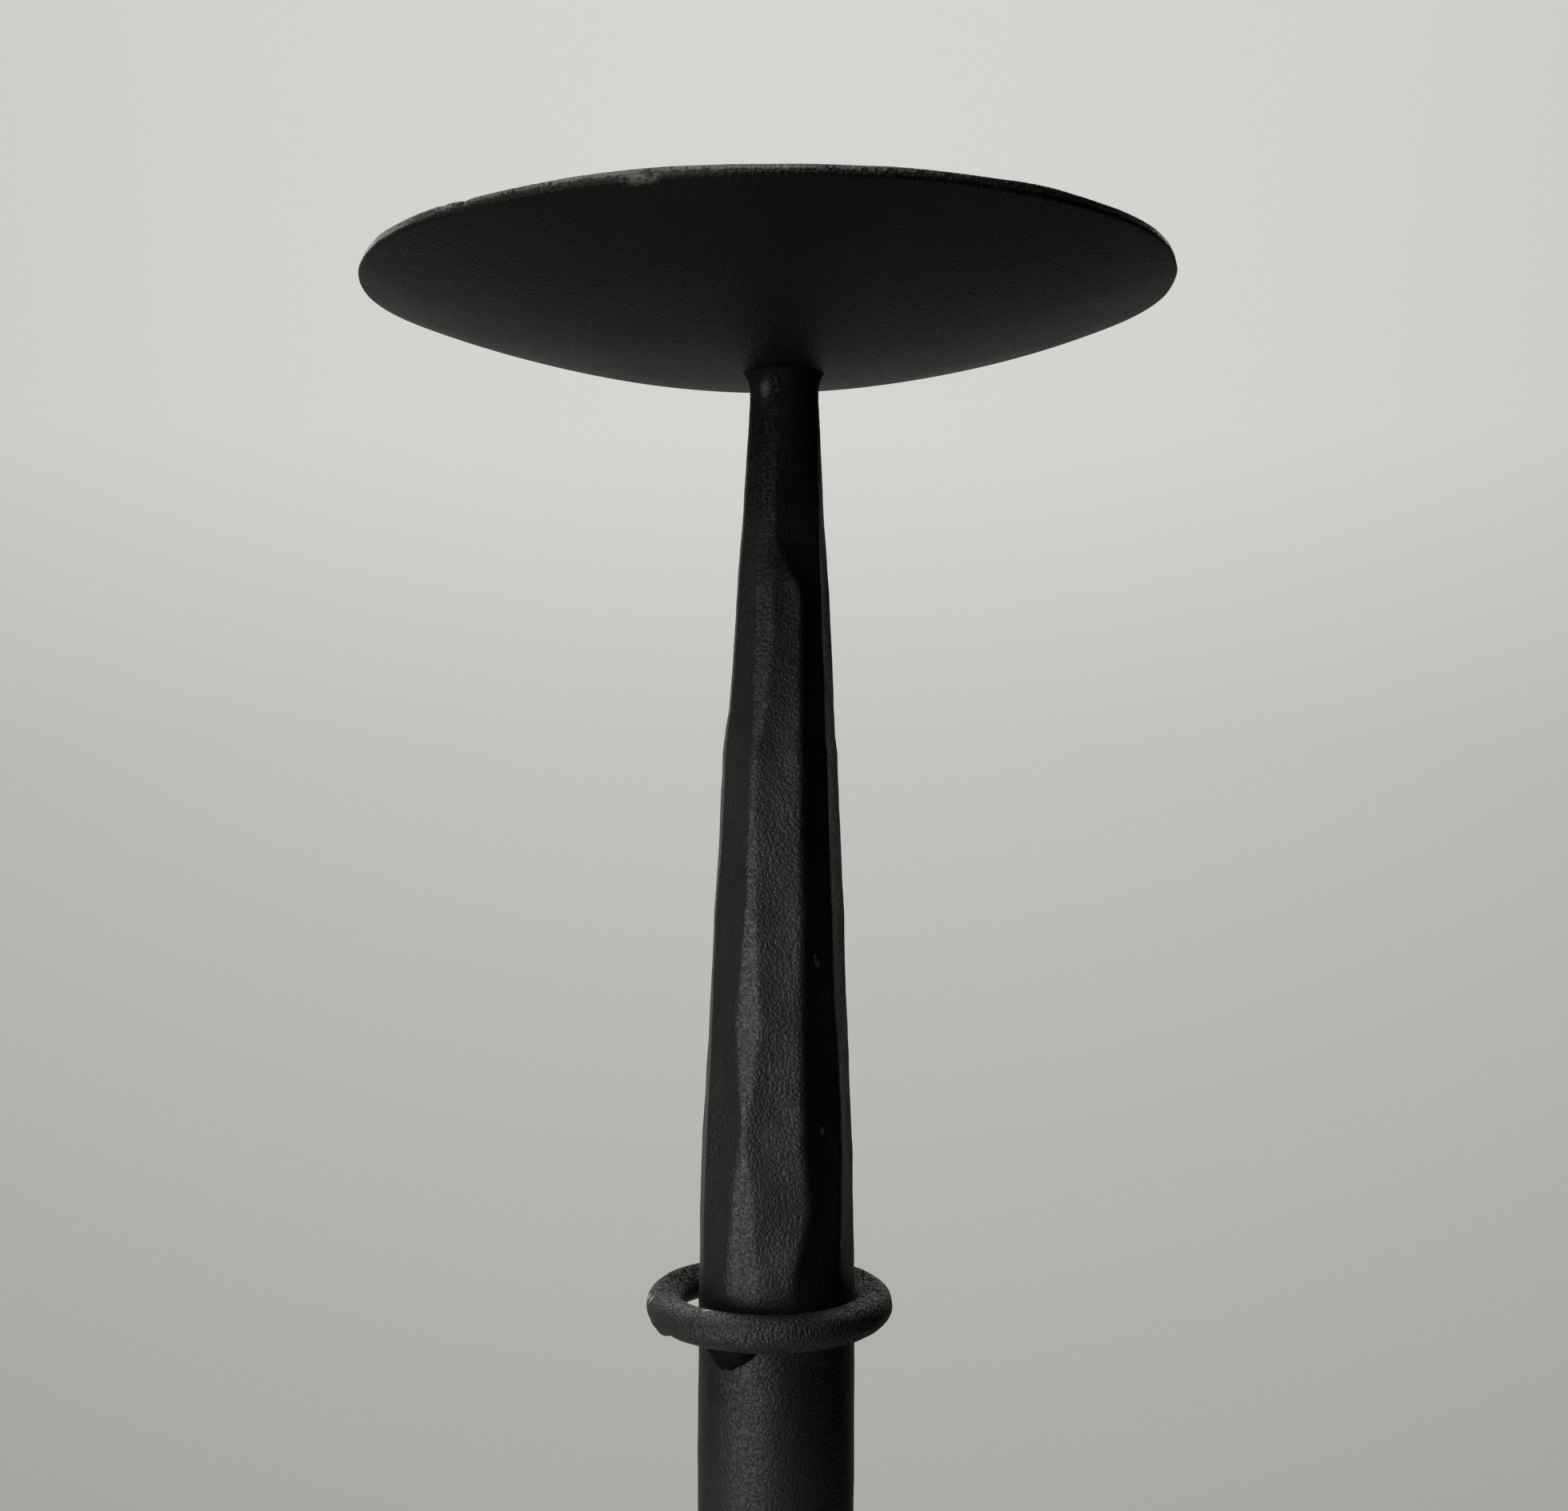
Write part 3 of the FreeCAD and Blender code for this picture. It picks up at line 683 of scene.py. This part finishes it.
def room_light():
    """The wall as it is seen, and the light that it gives."""
    world = bpy.data.worlds.new("pale_room")
    bpy.context.scene.world = world
    world.use_nodes = True
    tree = world.node_tree
    tree.nodes.clear()
    heading = node(tree, "TexCoord").outputs["Generated"]
    parts = node(tree, "SeparateXYZ", Vector=heading)
    # The wall behind is pale and the room in front is dim, darkest to the right.
    slant = node(tree, "Math", {"operation": "MULTIPLY_ADD"}, i0=parts.outputs["X"], i1=-0.32,
                 i2=parts.outputs["Y"])
    behind = node(tree, "MapRange", {"interpolation_type": "SMOOTHSTEP"}, Value=slant.outputs[0],
                  From_Min=0.28, From_Max=1.05)
    low = node(tree, "MapRange", {"interpolation_type": "SMOOTHSTEP"}, Value=parts.outputs["Z"],
               From_Min=-0.85, From_Max=-0.2, To_Min=0.05)
    pale = node(tree, "Math", {"operation": "MULTIPLY"}, i0=behind.outputs["Result"],
                i1=low.outputs["Result"])
    dim = node(tree, "MixRGB", Fac=pale.outputs[0], Color1=colour("#0a0a09"),
               Color2=colour("#c4c2bd"))
    lit = node(tree, "Background", Color=dim.outputs[0], Strength=0.9)
    # The wall gets duller and a little warmer toward its foot, and duller to the sides.
    rise = node(tree, "MapRange", Value=parts.outputs["Z"], From_Min=-0.4, From_Max=0.4)
    shade = node(tree, "ValToRGB", Fac=rise.outputs["Result"])
    bands = shade.color_ramp.elements
    bands.new(0.5)
    for band, (stop, tint) in zip(bands, ((0.0, WALL_FOOT), (0.5, WALL), (0.7, WALL_TOP))):
        band.position = stop
        band.color = colour(tint)
    aside = node(tree, "Math", {"operation": "MULTIPLY"}, i0=parts.outputs["X"],
                 i1=parts.outputs["X"])
    falling_off = node(tree, "MapRange", Value=aside.outputs[0], From_Max=0.15, To_Min=1.0,
                       To_Max=0.91)
    # Reflections show the same wall, and the room in front of it as dim as it is.
    straight = node(tree, "LightPath").outputs["Is Camera Ray"]
    shown = node(tree, "Math", {"operation": "MAXIMUM"}, i0=straight, i1=pale.outputs[0])
    strength = node(tree, "Math", {"operation": "MULTIPLY"}, i0=falling_off.outputs["Result"],
                    i1=shown.outputs[0])
    seen = node(tree, "Background", Color=shade.outputs["Color"], Strength=strength.outputs[0])
    mixed = node(tree, "MixShader", Fac=seen_ray(tree), i1=lit.outputs[0], i2=seen.outputs[0])
    node(tree, "OutputWorld", Surface=mixed.outputs[0])


def plaster_board():
    """Matt pale plaster board: an even tone with soft shadows, which fades out toward its edge."""
    material = bpy.data.materials.new("matt_pale_plaster_board")
    material.use_nodes = True
    tree = material.node_tree
    tree.nodes.clear()
    place = node(tree, "TexCoord").outputs["Object"]
    far = node(tree, "VectorMath", {"operation": "LENGTH"}, i0=place)
    fade = node(tree, "MapRange", {"interpolation_type": "SMOOTHSTEP"}, Value=far.outputs["Value"],
                From_Min=TABLE_FADE[0], From_Max=TABLE_FADE[1])
    board = node(tree, "BsdfDiffuse", Color=colour("#bdbcb8"))
    # Seen straight or mirrored, the board is nearly as pale as the foot of the wall.
    seen = node(tree, "Emission", Color=colour(WALL_FOOT))
    pale_share = node(tree, "Math", {"operation": "MULTIPLY"}, i0=0.3, i1=seen_ray(tree))
    pale_board = node(tree, "MixShader", Fac=pale_share.outputs[0], i1=board.outputs[0],
                      i2=seen.outputs[0])
    clear = node(tree, "BsdfTransparent")
    mixed = node(tree, "MixShader", Fac=fade.outputs["Result"], i1=pale_board.outputs[0],
                 i2=clear.outputs[0])
    node(tree, "OutputMaterial", Surface=mixed.outputs[0])
    return material


def table_top():
    """A pale round table top whose edge fades into the wall."""
    edge = ring_points(around(TABLE_STEPS), TABLE_RADIUS, 0.0).tolist()
    faces = [(0, 1 + step, 1 + (step + 1) % TABLE_STEPS) for step in range(TABLE_STEPS)]
    mesh = bpy.data.meshes.new("table_top")
    mesh.from_pydata([(0, 0, 0)] + edge, [], faces)
    mesh.materials.append(plaster_board())
    made = bpy.data.objects.new("table_top", mesh)
    bpy.context.scene.collection.objects.link(made)
    made.location.z = TABLE_HEIGHT


# Lamps: name, heading in degrees from the front, distance, height, width and length in metres, watts,
# tint. The window at the left is the main light, and the skylight above it gives ring and rim a gleam.
LAMPS = (
    ("window_left", -43, 1.5, 0.06, 0.8, 0.85, 21.5, "#fbfaf6"),
    ("skylight_left", -42, 0.95, 1.75, 0.6, 0.6, 20, "#fcfbf8"),
    ("ceiling", -150, 0.35, 1.7, 1.2, 1.2, 9, "#fcfbf8"),
    ("softbox_behind_right", 168, 1.2, 1.1, 0.7, 0.7, 11, "#f8f7f4"),
    ("softbox_behind_left", -155, 1.2, 1.1, 0.7, 0.7, 10, "#f8f7f4"),
)
# The height on the stem that the lamps look at, in metres
AIM_HEIGHT = 0.33


def soft_light(name, heading, distance, height, wide, tall, watts, tint):
    """A soft area light that looks at the stem."""
    light = bpy.data.lights.new(name, "AREA")
    light.shape = "RECTANGLE"
    light.size = wide
    light.size_y = tall
    light.energy = watts
    light.color = colour(tint)[:3]
    made = bpy.data.objects.new(name, light)
    bpy.context.scene.collection.objects.link(made)
    turn = math.radians(heading)
    made.location = (distance * math.sin(turn), -distance * math.cos(turn), height)
    tip = math.atan2(height - AIM_HEIGHT, distance)
    made.rotation_euler = (math.pi / 2 - tip, 0, turn)
    made.visible_camera = False


room_light()
table_top()
for lamp in LAMPS:
    soft_light(*lamp)

# Camera, fitted to the outlines in the photograph: lens, place, and how it is tipped, rolled and turned
LENS = 43.16
SENSOR_WIDTH = 36.0
EYE_DISTANCE = 264.7
EYE_HEIGHT = 355.4
EYE_TIP = 90 - 0.37
EYE_ROLL = -0.09
EYE_TURN = -0.207

eye = bpy.data.cameras.new("camera")
eye.lens = LENS
eye.sensor_width = SENSOR_WIDTH
eye.sensor_fit = "HORIZONTAL"
camera = bpy.data.objects.new("camera", eye)
bpy.context.scene.collection.objects.link(camera)
camera.location = (0.0, -EYE_DISTANCE * MM, EYE_HEIGHT * MM)
camera.rotation_euler = [math.radians(turn) for turn in (EYE_TIP, EYE_ROLL, EYE_TURN)]
bpy.context.scene.camera = camera
bpy.context.scene.view_settings.view_transform = "Standard"
